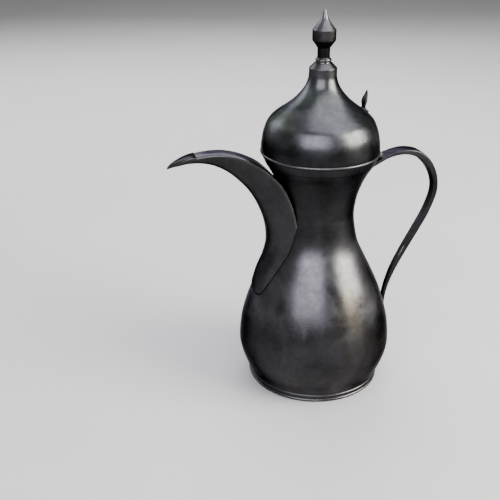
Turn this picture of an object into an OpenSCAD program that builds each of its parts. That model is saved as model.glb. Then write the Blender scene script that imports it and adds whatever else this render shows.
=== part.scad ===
// Dallah coffee pot: a waisted pot with a crescent spout, a strap handle and
// a hinged ogee lid that carries a turned finial.
// +Z is up, the spout points along -X and the handle along +X. The origin is
// the middle of the foot, on the surface that the pot stands on.

/* [Pot] */
// Radius of the pot where it meets the foot ring
foot_r = 60.5; // [59:0.5:62]
// Largest radius of the belly
belly_r = 70; // [68:0.5:71]
// Height of the belly's largest radius
belly_z = 39.5; // [37.5:0.5:41.5]
// Radius of the waist
waist_r = 32.2; // [31:0.2:33]
// Height of the waist
waist_z = 162.5; // [160.5:0.5:164.5]
// Radius of the rim
rim_r = 51; // [50:0.5:52]
// Height of the rim
rim_z = 217.5; // [216.5:0.5:218.5]
// Thickness of the sheet metal of the pot
wall = 1.2; // [1:0.1:1.4]

/* [Foot and mouth bands] */
// Height of the foot ring
foot_ring_h = 3; // [2.6:0.1:3.4]
// Thickness of the bottom plate
base_t = 1.2; // [1:0.1:1.6]
// Height of the groove above the foot ring
foot_groove_z = 7.4; // [6.5:0.1:8.5]
// Height of the lower edge of the mouth collar
collar_z = 209.7; // [208.5:0.1:210.5]
// Thickness of the mouth collar
collar_t = 1.1; // [0.9:0.1:1.3]

/* [Spout] */
// Thickness of the sheet metal of the spout
spout_wall = 1; // [0.8:0.1:1.2]
// Thickness of the spout's top plate
cover_t = 1.2; // [1:0.1:1.4]
// How far the top plate stops short of the spout's tip
mouth_len = 24; // [22:1:26]
// Radius of a strainer hole
strainer_hole_r = 2; // [1.6:0.1:2.2]

/* [Handle] */
// Thickness of the handle strap at its bend
strap_t = 6.5; // [6:0.1:7]
// Half width of the strap at the top
strap_w = 7.2; // [6.8:0.1:7.6]
// Radius of a handle rivet's shank
handle_rivet_r = 1.2; // [1:0.1:1.4]

/* [Lid] */
// Largest radius of the lid
lid_r = 51.3; // [51:0.1:51.5]
// Height of the lid from its lower edge to the flat top of its neck
lid_h = 71.7; // [69:0.1:72]
// Thickness of the sheet metal of the lid
lid_wall = 1; // [0.9:0.1:1.2]
// Gap between the closed lid and the rim
lid_gap = 0.3; // [0.3:0.1:0.5]
// How far the lid's locating skirt hangs into the mouth
skirt_drop = 6; // [4:0.5:6.5]

/* [Hinge] */
// Distance of the hinge pin from the pot's axis
hinge_x = 54; // [53.8:0.1:54.4]
// Height of the hinge pin
hinge_z = 212.5; // [212.1:0.1:212.7]
// Radius of the hinge knuckles
knuckle_r = 2.4; // [2.2:0.1:2.5]
// Radius of the hinge pin
pin_r = 1; // [0.9:0.05:1.1]
// How far the lid is opened in this drawing, in degrees
lid_open = 0; // [0:1:85]

/* [Finial] */
// Radius of the finial's bulb
bulb_r = 9.8; // [9:0.1:10.5]
// Height of the tip of the finial
tip_z = 337; // [333.5:0.5:337.5]

/* [Hidden] */
$fn = 96;

metal = [0.20, 0.20, 0.22];
dark_metal = [0.15, 0.15, 0.16];
trim_metal = [0.30, 0.30, 0.31];
far = 400;

// ---- curves -----------------------------------------------------------------

function mix(a, b, share) = a + (b - a) * share;

// A point between b and c on the smooth curve that passes through a, b, c and d
function curve_point(a, b, c, d, t) =
    (2 * b + (c - a) * t + (2 * a - 5 * b + 4 * c - d) * t * t
    + (3 * b - a - 3 * c + d) * t * t * t) / 2;

// A smooth curve through all the keys, with this many steps between two keys
function curve_through(keys, steps) =
    let (last = len(keys) - 1)
    [for (i = [0:last - 1], s = [0:steps - 1])
        curve_point(keys[max(i - 1, 0)], keys[i], keys[i + 1], keys[min(i + 2, last)], s / steps),
    keys[last]];

// The unit normal to the left of a path of flat points
function normal_at(path, i) =
    let (a = path[max(i - 1, 0)], b = path[min(i + 1, len(path) - 1)], run = (b - a) / norm(b - a))
    [-run[1], run[0]];

// The path moved to its left by a distance, which may differ from point to point
function shifted(path, distance) =
    [for (i = [0:len(path) - 1])
        path[i] + normal_at(path, i) * (is_list(distance) ? distance[i] : distance)];

function reversed(list) = [for (i = [len(list) - 1:-1:0]) list[i]];

function arc(centre, r, from, to, steps) =
    [for (s = [0:steps]) centre + r * [cos(mix(from, to, s / steps)), sin(mix(from, to, s / steps))]];

// ---- the pot's outline, as [radius, height] from the foot to the rim ----------

// Each key is [share of the change in radius, share of the change in height]
foot_to_belly = [[0, 0], [0.21, 0.22], [0.60, 0.48], [0.90, 0.74]];
belly_to_waist = [[0, 0], [0.05, 0.15], [0.19, 0.31], [0.39, 0.47], [0.655, 0.634], [0.86, 0.764], [0.955, 0.88]];
waist_to_rim = [[0, 0], [0.08, 0.27], [0.26, 0.49], [0.5, 0.68], [0.80, 0.855], [1, 1]];

pot_keys = concat(
    [for (k = foot_to_belly) [mix(foot_r, belly_r, k[0]), mix(foot_ring_h, belly_z, k[1])]],
    [for (k = belly_to_waist) [mix(belly_r, waist_r, k[0]), mix(belly_z, waist_z, k[1])]],
    [for (k = waist_to_rim) [mix(waist_r, rim_r, k[0]), mix(waist_z, rim_z, k[1])]]);
pot_path = curve_through(pot_keys, 4);

// ---- the lid's outline, as [radius, height] from its lower edge to its neck ----

lid_z = rim_z + lid_gap;
lid_keys = [for (k = [[0.988, 0], [1, 0.07], [0.985, 0.17], [0.952, 0.28], [0.88, 0.395], [0.765, 0.478],
        [0.60, 0.562], [0.475, 0.632], [0.365, 0.715], [0.282, 0.80], [0.238, 0.885], [0.228, 0.95], [0.228, 1]])
    [lid_r * k[0], lid_z + lid_h * k[1]]];
lid_path = curve_through(lid_keys, 4);
lid_top_z = lid_z + lid_h;
lid_neck_r = lid_r * 0.228;

// ---- shared shapes --------------------------------------------------------------

// The half section of a sheet that follows a path, between two shifts of it and two heights
module band(path, outside, inside, low, high) {
    intersection() {
        polygon(concat(shifted(path, outside), reversed(shifted(path, inside))));
        translate([0, low]) square([far, high - low]);
    }
}

module filled_outline(path) {
    rotate_extrude() polygon(concat([[0, path[0][1]]], path, [[0, path[len(path) - 1][1]]]));
}

// Everything inside the outer surface of the pot
module pot_outline() {
    filled_outline(pot_path);
}

module lid_outline() {
    filled_outline(lid_path);
}

// A slab of the given half width, from an outline in the XZ plane
module side_slab(half_width) {
    translate([0, half_width, 0]) rotate([90, 0, 0]) linear_extrude(2 * half_width) children();
}

// A round rod along Y, centred on the hinge's axis
module hinge_rod(r, low, high) {
    translate([hinge_x, high, hinge_z]) rotate([90, 0, 0]) cylinder(r = r, h = high - low);
}

// Moves the lid and all that is on it about the hinge pin
module on_lid() {
    translate([hinge_x, 0, hinge_z]) rotate([0, lid_open, 0]) translate([-hinge_x, 0, -hinge_z]) children();
}

// ---- foot -------------------------------------------------------------------------

foot_ring_in = foot_r - 3.2;
foot_bead_r = foot_ring_h / 2;

module foot_ring() {
    color(trim_metal)
        rotate_extrude()
            polygon(concat([[foot_ring_in, 0]],
                arc([foot_r - 0.9, foot_bead_r], foot_bead_r, -90, 90, 10),
                [[foot_ring_in, foot_ring_h]]));
}

module base_plate() {
    color(dark_metal)
        translate([0, 0, foot_ring_h])
            cylinder(r = foot_r - wall - 0.15, h = base_t);
}

// ---- pot body -----------------------------------------------------------------------

strainer_rows = 6;
strainer_pitch = 8;
strainer_low_z = 107;

module strainer_holes() {
    for (row = [0:strainer_rows - 1], column = [-1:1])
        translate([-far / 4, column * strainer_pitch, strainer_low_z + row * strainer_pitch])
            rotate([0, 90, 0])
                cylinder(r = strainer_hole_r, h = far / 4 - waist_r / 2, $fn = 32);
}

module belly_shell() {
    groove = 0.45;
    color(metal)
        difference() {
            rotate_extrude()
                difference() {
                    band(pot_path, 0, wall, foot_ring_h, waist_z);
                    translate([foot_r + 1.2, foot_groove_z]) circle(r = 0.8 + groove / 2, $fn = 24);
                }
            strainer_holes();
        }
}

collar_lip = 1;
joggle = 2.6;

module neck_shell() {
    color(metal)
        rotate_extrude() {
            band(pot_path, 0, wall, waist_z, collar_z - joggle);
            band(pot_path, 0, collar_t + wall, collar_z - joggle, collar_z);
            band(pot_path, collar_t, collar_t + wall, collar_z, rim_z - collar_lip);
        }
}

module mouth_collar() {
    shadow_gap = 0.35;
    color(trim_metal)
        rotate_extrude() {
            band(pot_path, 0, collar_t, collar_z + shadow_gap, rim_z);
            band(pot_path, 0, collar_t + wall, rim_z - collar_lip, rim_z);
        }
}

// ---- spout --------------------------------------------------------------------------

// Each key is [top x, top z, keel x, keel z, half width] of one cross-section,
// from the tip, over the arch and down into the pot's wall
spout_keys = [
    [-133.8, 214.1, -133.4, 213, 1.2], [-130.4, 216.6, -130.2, 214.6, 3.7],
    [-125, 219.3, -124.9, 215.6, 5.6], [-117, 222.2, -116.7, 217, 7.3],
    [-107, 224.1, -106.4, 216.7, 8.3], [-96, 224.9, -94.6, 213.7, 9],
    [-85, 224.2, -82.8, 207.2, 9.6], [-74, 221.4, -72.9, 198.6, 10.5],
    [-64, 217, -64.5, 189.2, 12.2], [-54.5, 211.5, -58, 179, 14.2],
    [-45.5, 203.4, -53, 168.5, 16.5], [-37, 192.7, -49.3, 157.5, 18.4],
    [-29.5, 175.5, -47.3, 146, 19.4], [-25, 154.5, -47.4, 134.5, 19.8],
    [-26, 135.5, -50.6, 123, 19.8], [-31, 118.5, -56, 111.5, 19.2],
    [-39, 105, -59.4, 101, 17.6], [-46.5, 97.5, -60.4, 95.5, 15.6],
    [-51.5, 93.5, -60.4, 91.5, 13], [-54, 90.5, -57.2, 88.8, 9.5]];
spout_path = curve_through(spout_keys, 2);
spout_sides = 14;
// How square the cross-section is: 2 is an ellipse, and more is fuller
spout_fullness = 2.4;

function top_of(s) = [s[0], s[1]];
function keel_of(s) = [s[2], s[3]];
function down_of(s) = (keel_of(s) - top_of(s)) / norm(keel_of(s) - top_of(s));

// One cross-section, from the edge at +Y round the keel to the edge at -Y
function spout_ring(s, drop, inset) =
    let (top = top_of(s) + down_of(s) * drop, keel = keel_of(s) - down_of(s) * inset,
        w = max(s[4] - inset, 0.25))
    [for (i = [0:spout_sides])
        let (a = 180 * i / spout_sides, across = pow(abs(cos(a)), 2 / spout_fullness) * sign(cos(a)),
            depth = pow(sin(a), 2 / spout_fullness), p = top + (keel - top) * depth)
        [p[0], w * across, p[1]]];

// A closed solid lofted through cross-sections of the spout
module spout_loft(sections, drop, inset) {
    rings = [for (s = sections) spout_ring(s, drop, inset)];
    n = spout_sides + 1;
    last = len(sections) - 1;
    polyhedron(
        points = [for (ring = rings, p = ring) p],
        faces = concat(
            [[for (i = [n - 1:-1:0]) i]],
            [for (k = [0:last - 1], i = [0:n - 1])
                let (j = (i + 1) % n) [k * n + i, k * n + j, (k + 1) * n + j]],
            [for (k = [0:last - 1], i = [0:n - 1])
                let (j = (i + 1) % n) [k * n + i, (k + 1) * n + j, (k + 1) * n + i]],
            [[for (i = [0:n - 1]) last * n + i]]));
}

// The space of the top plate, which starts this far above the spout's top
module spout_top_slab(above) {
    mouth_x = spout_keys[0][0] + mouth_len;
    over = [for (s = spout_path) if (s[1] > waist_z && s[0] > mouth_x - 4) s];
    intersection() {
        side_slab(far / 4)
            polygon(concat([for (s = over) top_of(s) - down_of(s) * above],
                reversed([for (s = over) top_of(s) + down_of(s) * cover_t])));
        translate([mouth_x, -far / 2, 0]) cube(far);
    }
}

module spout_shell() {
    hollow = [for (i = [2:len(spout_path) - 1]) spout_path[i]];
    color(dark_metal)
        difference() {
            spout_loft(spout_path, 0, 0);
            spout_loft(hollow, -2, spout_wall);
            spout_top_slab(2);
            pot_outline();
        }
}

module spout_cover() {
    over = [for (s = spout_path) if (s[1] > waist_z) s];
    color(metal)
        difference() {
            intersection() {
                spout_top_slab(0);
                linear_extrude(far)
                    polygon(concat([for (s = over) [s[0], s[4]]], reversed([for (s = over) [s[0], -s[4]]])));
            }
            pot_outline();
        }
}

// ---- handle ---------------------------------------------------------------------------

// The strap's middle line as [x, z, share of its greatest thickness], from the neck, over the
// bow and down to the belly
strap_keys = [[40, 198, 0.5], [52, 204.7, 0.5], [63.9, 210.4, 0.53], [78, 212.6, 0.71], [90.5, 209.8, 0.94],
    [99.1, 203.4, 1], [105.9, 195.1, 0.9], [110.8, 183.4, 0.8], [111.4, 170.3, 0.79], [105.9, 153.1, 0.85],
    [97, 135.6, 0.89], [86.9, 117.1, 0.86], [78.1, 99.3, 0.75], [72.6, 84.3, 0.58], [69.8, 72.4, 0.48],
    [68.9, 60.5, 0.4], [68.9, 47.5, 0.34]];
strap_path = curve_through(strap_keys, 3);
strap_line = [for (p = strap_path) [p[0], p[1]]];
strap_half_t = [for (p = strap_path) strap_t / 2 * p[2]];
strap_outer = shifted(strap_line, strap_half_t);
strap_inner = shifted(strap_line, -strap_half_t);
// Half width of the strap against height
strap_widths = [[strap_w * 0.36, 40], [strap_w * 0.39, 76], [strap_w * 0.43, 101], [strap_w * 0.46, 131],
    [strap_w * 0.51, 151], [strap_w * 0.58, 166], [strap_w * 0.69, 183], [strap_w * 0.83, 196],
    [strap_w * 0.94, 206], [strap_w, 218]];
handle_rivet_z = [53, 59];

module handle_strap() {
    color(dark_metal)
        difference() {
            intersection() {
                side_slab(2 * strap_w) polygon(concat(strap_outer, reversed(strap_inner)));
                rotate([90, 0, 90])
                    linear_extrude(far)
                        polygon(concat(strap_widths, reversed([for (p = strap_widths) [-p[0], p[1]]])));
            }
            pot_outline();
            for (z = handle_rivet_z)
                translate([belly_r - 6, 0, z]) rotate([0, 90, 0]) cylinder(r = handle_rivet_r, h = 12, $fn = 32);
        }
}

// Each rivet's shank goes through the strap's tail to the belly, and its head stands on the strap
module handle_rivets() {
    head_r = handle_rivet_r * 1.7;
    head_h = 0.9;
    tail = [for (p = reversed(strap_outer)) if (p[1] < 80) [p[1], p[0]]];
    belly = [for (p = pot_path) [p[1], p[0]]];
    color(trim_metal)
        difference() {
            for (z = handle_rivet_z)
                translate([0, 0, z])
                    rotate([0, 90, 0])
                        rotate_extrude($fn = 48)
                            polygon([[0, lookup(z, belly) - 1], [handle_rivet_r, lookup(z, belly) - 1],
                                [handle_rivet_r, lookup(z, tail)], [head_r, lookup(z, tail)],
                                [head_r * 0.92, lookup(z, tail) + head_h / 2],
                                [head_r * 0.5, lookup(z, tail) + head_h], [0, lookup(z, tail) + head_h]]);
            pot_outline();
        }
}

// ---- hinge on the pot -------------------------------------------------------------------

lid_knuckle = 2.6;
pot_knuckle_in = 3;
pot_knuckle_out = 6.5;
plate_t = 1.2;

module hinge_bracket() {
    color(dark_metal)
        difference() {
            union() {
                intersection() {
                    rotate_extrude() band(pot_path, -plate_t, 0, collar_z + 0.6, collar_z + 4.4);
                    translate([0, -8, 0]) cube([far, 16, far]);
                }
                for (side = [-1, 1])
                    mirror([0, side < 0 ? 1 : 0, 0]) {
                        hinge_rod(knuckle_r, pot_knuckle_in, pot_knuckle_out);
                        translate([rim_r - 5, pot_knuckle_in, hinge_z - knuckle_r * 0.7])
                            cube([hinge_x - rim_r + 5, pot_knuckle_out - pot_knuckle_in, knuckle_r * 1.4]);
                    }
            }
            pot_outline();
            hinge_rod(pin_r, -far / 4, far / 4);
        }
}

module hinge_pin() {
    head = 0.9;
    color(trim_metal)
        translate([hinge_x, 0, hinge_z])
            rotate([90, 0, 0])
                rotate_extrude($fn = 48)
                    polygon([[0, -pot_knuckle_out - head], [pin_r * 1.2, -pot_knuckle_out - head],
                        [pin_r * 1.8, -pot_knuckle_out - head * 0.4], [pin_r * 1.8, -pot_knuckle_out],
                        [pin_r, -pot_knuckle_out], [pin_r, pot_knuckle_out], [pin_r * 1.8, pot_knuckle_out],
                        [pin_r * 1.8, pot_knuckle_out + head * 0.4], [pin_r * 1.2, pot_knuckle_out + head],
                        [0, pot_knuckle_out + head]]);
}

// ---- lid -----------------------------------------------------------------------------------

stud_r = 3;
stud_clearance = 0.2;
bead_h = 2.2;
bead_depth = 0.9;
lid_rivet_r = 1.1;
lid_rivet_y = 3.6;
lid_rivet_z = lid_z + 11.5;
// Where the thumb leaf stands on the lid, and how steep the lid is there
thumb_i = [for (i = [0:len(lid_path) - 1]) if (lid_path[i][0] > 38) i];
thumb_at = lid_path[thumb_i[len(thumb_i) - 1]];
thumb_normal = -normal_at(lid_path, thumb_i[len(thumb_i) - 1]);
thumb_tilt = atan2(thumb_normal[0], thumb_normal[1]);
thumb_rivet_r = 1.3;

module thumb_rod(r, low, high) {
    translate([thumb_at[0], 0, thumb_at[1]])
        rotate([0, thumb_tilt, 0])
            translate([0, 0, low]) cylinder(r = r, h = high - low, $fn = 32);
}

module lid_hinge_rivet_rods(r, from, to) {
    for (y = [-lid_rivet_y, lid_rivet_y])
        translate([from, y, lid_rivet_z]) rotate([0, 90, 0]) cylinder(r = r, h = to - from, $fn = 32);
}

module lid_dome() {
    color(metal)
        on_lid()
            difference() {
                rotate_extrude()
                    difference() {
                        union() {
                            band(lid_path, 0, lid_wall, lid_z, lid_top_z);
                            translate([0, lid_top_z - lid_wall]) square([lid_neck_r - lid_wall / 2, lid_wall]);
                        }
                        translate([lid_r - bead_depth, lid_z - 1]) square([far, bead_h + 1]);
                    }
                translate([0, 0, lid_top_z - far / 8]) cylinder(r = stud_r + stud_clearance, h = far / 4);
                lid_hinge_rivet_rods(lid_rivet_r, 40, 60);
                thumb_rod(thumb_rivet_r, -5, 5);
            }
}

module lid_rim_bead() {
    color(trim_metal)
        on_lid()
            rotate_extrude()
                polygon(concat([[lid_r - bead_depth, lid_z]],
                    arc([lid_r - 0.55, lid_z + bead_h / 2], bead_h / 2, -90, 90, 10),
                    [[lid_r - bead_depth, lid_z + bead_h]]));
}

skirt_r = 44.4;

module lid_skirt() {
    flange_r = lid_r - bead_depth - lid_wall - 0.1;
    color(dark_metal)
        on_lid()
            rotate_extrude() {
                translate([skirt_r - 1, rim_z - skirt_drop]) square([1, skirt_drop + lid_gap + 1]);
                translate([skirt_r - 1, lid_z]) square([flange_r - skirt_r + 1, 1]);
            }
}

module lid_hinge_leaf() {
    arm_x = rim_r + 1.2;
    color(dark_metal)
        on_lid()
            difference() {
                union() {
                    intersection() {
                        rotate_extrude() band(lid_path, -plate_t, 0, lid_z + bead_h + 0.2, lid_z + 15);
                        translate([0, -pot_knuckle_out, 0]) cube([far, 2 * pot_knuckle_out, far]);
                    }
                    translate([arm_x, -lid_knuckle, hinge_z]) cube([hinge_x - arm_x + 0.8, 2 * lid_knuckle, 11]);
                    hinge_rod(knuckle_r, -lid_knuckle, lid_knuckle);
                }
                lid_outline();
                hinge_rod(pin_r + 0.05, -far / 4, far / 4);
                lid_hinge_rivet_rods(lid_rivet_r, 40, 60);
            }
}

module lid_hinge_rivets() {
    leaf_x = 51.6;
    inner_x = 47.2;
    color(trim_metal)
        on_lid() {
            lid_hinge_rivet_rods(lid_rivet_r, inner_x, leaf_x);
            for (y = [-lid_rivet_y, lid_rivet_y])
                translate([leaf_x, y, lid_rivet_z])
                    rotate([0, 90, 0])
                        cylinder(r1 = lid_rivet_r * 1.7, r2 = lid_rivet_r, h = 0.8, $fn = 32);
        }
}

// ---- thumb piece -----------------------------------------------------------------------------

// The leaf's middle line from the side as [x, z] from the foot, its width and its thickness
leaf_keys = [[0, -1], [-1, 3], [-1.1, 6], [-0.3, 10], [0.8, 13.6], [1.1, 16.8]];
leaf_widths = [[2.4, -2], [2.1, 1.5], [2.6, 3.4], [4, 5.6], [4.5, 8], [4, 10.6], [2.4, 14], [0.4, 17]];

module thumb_leaf() {
    line = curve_through(leaf_keys, 4);
    last = len(line) - 1;
    half_t = [for (i = [0:last]) mix(1.25, 0.5, i / last)];
    outline = curve_through(leaf_widths, 4);
    color(dark_metal)
        on_lid()
            difference() {
                union() {
                    thumb_rod(4.2, -3, 1.3);
                    translate([thumb_at[0], 0, thumb_at[1]])
                        intersection() {
                            side_slab(far / 8)
                                polygon(concat(shifted(line, half_t), reversed(shifted(line, -half_t))));
                            translate([-far / 8, 0, 0])
                                rotate([90, 0, 90])
                                    linear_extrude(far / 4)
                                        polygon(concat(outline, reversed([for (p = outline) [-p[0], p[1]]])));
                        }
                }
                lid_outline();
            }
}

module thumb_rivet() {
    color(trim_metal)
        on_lid() {
            thumb_rod(thumb_rivet_r, -lid_wall, 0);
            thumb_rod(thumb_rivet_r * 1.8, -lid_wall - 1.2, -lid_wall);
        }
}

// ---- finial -------------------------------------------------------------------------------------

socket_h = 5;
ring_h = 4;
socket_z = lid_top_z;
ring_z = socket_z + socket_h;
knob_z = ring_z + ring_h;

module stud_hole() {
    translate([0, 0, lid_top_z - 10]) cylinder(r = stud_r, h = far / 4);
}

module finial_socket() {
    color(metal)
        on_lid()
            difference() {
                translate([0, 0, socket_z])
                    rotate_extrude()
                        polygon([[0, 0], [lid_neck_r, 0], [lid_neck_r, 0.6], [7.4, socket_h], [0, socket_h]]);
                stud_hole();
            }
}

module finial_ring() {
    color(metal)
        on_lid()
            difference() {
                translate([0, 0, ring_z])
                    rotate_extrude()
                        polygon(concat([[0, 0], [6.1, 0]],
                            arc([5.1, ring_h / 2], ring_h / 2 - 0.3, -60, 60, 8), [[5.5, ring_h], [0, ring_h]]));
                stud_hole();
            }
}

module finial_knob() {
    bulb_low = tip_z - 25;
    bulb_high = tip_z - 16.3;
    stem = [[5.3, knob_z], [5.2, knob_z + 3.8], [5.3, bulb_low - 5.7]];
    spire = curve_through([[bulb_r, bulb_high], [8.2, bulb_high + 1.9], [6.6, bulb_high + 3.9],
        [4.8, bulb_high + 6.2], [3.1, bulb_high + 8.9], [2.1, bulb_high + 11.6], [1.4, tip_z - 1.7]], 3);
    color(metal)
        on_lid()
            rotate_extrude()
                polygon(concat([[0, lid_top_z - 8], [stud_r, lid_top_z - 8], [stud_r, knob_z]], stem,
                    [[bulb_r - 0.3, bulb_low], [bulb_r, bulb_low + 1]], spire, [[0.8, tip_z - 0.4], [0, tip_z]]));
}

washer_h = 1.2;

module finial_washer() {
    color(trim_metal)
        on_lid()
            translate([0, 0, lid_top_z - lid_wall - washer_h])
                difference() {
                    cylinder(r = 7.5, h = washer_h);
                    cylinder(r = stud_r + stud_clearance, h = 3 * washer_h, center = true);
                }
}

module finial_nut() {
    nut_h = 4.2;
    color(trim_metal)
        on_lid()
            translate([0, 0, lid_top_z - lid_wall - washer_h - nut_h])
                difference() {
                    cylinder(r = 5.8, h = nut_h, $fn = 6);
                    cylinder(r = stud_r, h = 3 * nut_h, center = true);
                }
}

foot_ring();
base_plate();
belly_shell();
neck_shell();
mouth_collar();
spout_shell();
spout_cover();
handle_strap();
handle_rivets();
hinge_bracket();
hinge_pin();
lid_dome();
lid_rim_bead();
lid_skirt();
lid_hinge_leaf();
lid_hinge_rivets();
thumb_leaf();
thumb_rivet();
finial_socket();
finial_ring();
finial_knob();
finial_washer();
finial_nut();
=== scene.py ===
import math

import bmesh
import bpy
from mathutils import Matrix, Vector, noise


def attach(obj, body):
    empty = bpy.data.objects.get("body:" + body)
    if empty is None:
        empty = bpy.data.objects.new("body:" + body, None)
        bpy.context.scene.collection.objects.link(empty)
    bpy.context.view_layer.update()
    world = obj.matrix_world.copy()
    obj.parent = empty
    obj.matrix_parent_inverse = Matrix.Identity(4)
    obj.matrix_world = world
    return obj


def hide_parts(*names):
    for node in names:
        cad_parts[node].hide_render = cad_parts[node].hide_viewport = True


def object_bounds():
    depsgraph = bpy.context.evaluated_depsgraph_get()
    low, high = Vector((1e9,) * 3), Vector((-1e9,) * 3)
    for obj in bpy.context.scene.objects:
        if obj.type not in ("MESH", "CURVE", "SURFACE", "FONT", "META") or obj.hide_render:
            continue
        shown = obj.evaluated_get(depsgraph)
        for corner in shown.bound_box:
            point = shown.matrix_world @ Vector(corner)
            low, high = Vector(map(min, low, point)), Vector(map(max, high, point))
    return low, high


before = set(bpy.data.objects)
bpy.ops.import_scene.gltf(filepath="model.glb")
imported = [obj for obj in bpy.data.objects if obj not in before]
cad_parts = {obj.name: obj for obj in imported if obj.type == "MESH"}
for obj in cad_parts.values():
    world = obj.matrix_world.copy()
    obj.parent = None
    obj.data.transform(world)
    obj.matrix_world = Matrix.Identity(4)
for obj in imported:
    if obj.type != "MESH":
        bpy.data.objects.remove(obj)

CAD_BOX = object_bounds()

# Lengths below are in millimetres unless a comment says otherwise, and MM turns them into metres
MM = 0.001

# ---- curves, in millimetres ----------------------------------------------------------


def mix(a, b, share):
    return a + (b - a) * share


def curve_point(a, b, c, d, t):
    """A point between b and c on the smooth curve through a, b, c and d."""
    return tuple(
        (2 * q + (r - p) * t + (2 * p - 5 * q + 4 * r - s) * t * t + (3 * q - p - 3 * r + s) * t ** 3) / 2
        for p, q, r, s in zip(a, b, c, d))


def curve_at(keys, s):
    """The smooth curve through the keys at a place counted in keys."""
    last = len(keys) - 1
    i = min(max(int(math.floor(s)), 0), last - 1)
    return curve_point(keys[max(i - 1, 0)], keys[i], keys[i + 1], keys[min(i + 2, last)], s - i)


def curve_through(keys, steps):
    """The smooth curve through all the keys, with this many steps between each two."""
    last = len(keys) - 1
    return [curve_at(keys, k / steps) for k in range(last * steps)] + [tuple(keys[last])]


def lookup(table, x):
    """Linear lookup of the second value in a table sorted by the first."""
    if x <= table[0][0]:
        return table[0][1]
    for (x0, y0), (x1, y1) in zip(table, table[1:]):
        if x <= x1:
            return mix(y0, y1, (x - x0) / (x1 - x0)) if x1 > x0 else y1
    return table[-1][1]


def shifted(path, distance):
    """The path moved to its left, which is towards the axis on a path that climbs."""
    out = []
    for i, p in enumerate(path):
        a, b = path[max(i - 1, 0)], path[min(i + 1, len(path) - 1)]
        run = math.hypot(b[0] - a[0], b[1] - a[1])
        far = distance[i] if isinstance(distance, list) else distance
        out.append((p[0] - (b[1] - a[1]) / run * far, p[1] + (b[0] - a[0]) / run * far))
    return out


def arc(centre, r, start, stop, steps):
    """Points of an arc between two angles in degrees."""
    angles = [math.radians(mix(start, stop, k / steps)) for k in range(steps + 1)]
    return [(centre[0] + r * math.cos(a), centre[1] + r * math.sin(a)) for a in angles]


CORNER_STEPS = 4


def soften(points, cut, closed=False, turn=20):
    """Rounds the corners of an outline that turn by at least this many degrees."""
    out = []
    n = len(points)
    for i, p in enumerate(points):
        if not closed and i in (0, n - 1):
            out.append(p)
            continue
        a, b, c = Vector(points[i - 1]), Vector(p), Vector(points[(i + 1) % n])
        before, after = a - b, c - b
        if before.length < 1e-6 or after.length < 1e-6:
            continue
        bend = 180 - math.degrees(before.angle(after))
        if bend < turn:
            out.append(p)
            continue
        start = b + before.normalized() * min(cut, before.length * 0.45)
        stop = b + after.normalized() * min(cut, after.length * 0.45)
        for k in range(CORNER_STEPS + 1):
            t = k / CORNER_STEPS
            q = start * (1 - t) ** 2 + b * 2 * t * (1 - t) + stop * t * t
            out.append((q[0], q[1]))
    return out


# ---- the outlines of the pot and the lid, as (radius, height) ------------------------

FOOT_R, FOOT_H = 60.5, 3
BELLY_R, BELLY_Z = 70, 39.5
WAIST_R, WAIST_Z = 32.2, 162.5
RIM_R, RIM_Z = 51, 217.5
WALL = 1.2
FOOT_RING_DEPTH, FOOT_ROUND_IN = 3.2, 0.9
COLLAR_Z, COLLAR_T, COLLAR_LIP, COLLAR_GAP = 209.7, 1.1, 1, 0.35
JOGGLE = 2.6
LID_R, LID_H, LID_WALL, LID_GAP = 51.3, 71.7, 1, 0.3
LID_Z = RIM_Z + LID_GAP
LID_TOP = LID_Z + LID_H
LID_NECK_R = LID_R * 0.228
BEAD_H, BEAD_DEPTH, BEAD_ROUND_IN = 2.2, 0.9, 0.55
TIP_Z = 337
BULB_R = 9.8

FOOT_TO_BELLY = [(0, 0), (0.21, 0.22), (0.60, 0.48), (0.90, 0.74)]
BELLY_TO_WAIST = [(0, 0), (0.05, 0.15), (0.19, 0.31), (0.39, 0.47), (0.655, 0.634), (0.86, 0.764),
                  (0.955, 0.88)]
WAIST_TO_RIM = [(0, 0), (0.08, 0.27), (0.26, 0.49), (0.5, 0.68), (0.80, 0.855), (1, 1)]
POT_KEYS = ([(mix(FOOT_R, BELLY_R, r), mix(FOOT_H, BELLY_Z, z)) for r, z in FOOT_TO_BELLY]
            + [(mix(BELLY_R, WAIST_R, r), mix(BELLY_Z, WAIST_Z, z)) for r, z in BELLY_TO_WAIST]
            + [(mix(WAIST_R, RIM_R, r), mix(WAIST_Z, RIM_Z, z)) for r, z in WAIST_TO_RIM])
OUTLINE_STEPS = 12
POT_PATH = curve_through(POT_KEYS, OUTLINE_STEPS)
POT_RADII = [(z, r) for r, z in POT_PATH]

LID_SHARES = [(0.988, 0), (1, 0.07), (0.985, 0.17), (0.952, 0.28), (0.88, 0.395), (0.765, 0.478),
              (0.60, 0.562), (0.475, 0.632), (0.365, 0.715), (0.282, 0.80), (0.238, 0.885),
              (0.228, 0.95), (0.228, 1)]
LID_KEYS = [(LID_R * r, LID_Z + LID_H * z) for r, z in LID_SHARES]
LID_PATH = curve_through(LID_KEYS, OUTLINE_STEPS)


def pot_radius(z):
    return lookup(POT_RADII, z)


NEAR_END = 0.02


def between(path, low, high):
    """The part of a climbing path between two heights, with points exactly on both."""
    radii = [(z, r) for r, z in path]
    inside = [(r, z) for r, z in path if low + NEAR_END < z < high - NEAR_END]
    return [(lookup(radii, low), low)] + inside + [(lookup(radii, high), high)]


# ---- meshes --------------------------------------------------------------------------

UNEVEN, QUICK_SHARE = 0.16, 0.28
SHARP_ANGLE = 38


def uneven(p):
    """How far the beaten sheet stands off its true surface at a point."""
    slow = noise.noise(Vector((p[0] / 31, p[1] / 31, p[2] / 46)))
    quick = noise.noise(Vector((p[0] / 11 + 7, p[1] / 11, p[2] / 13)))
    return UNEVEN * (slow + QUICK_SHARE * quick)


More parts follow.
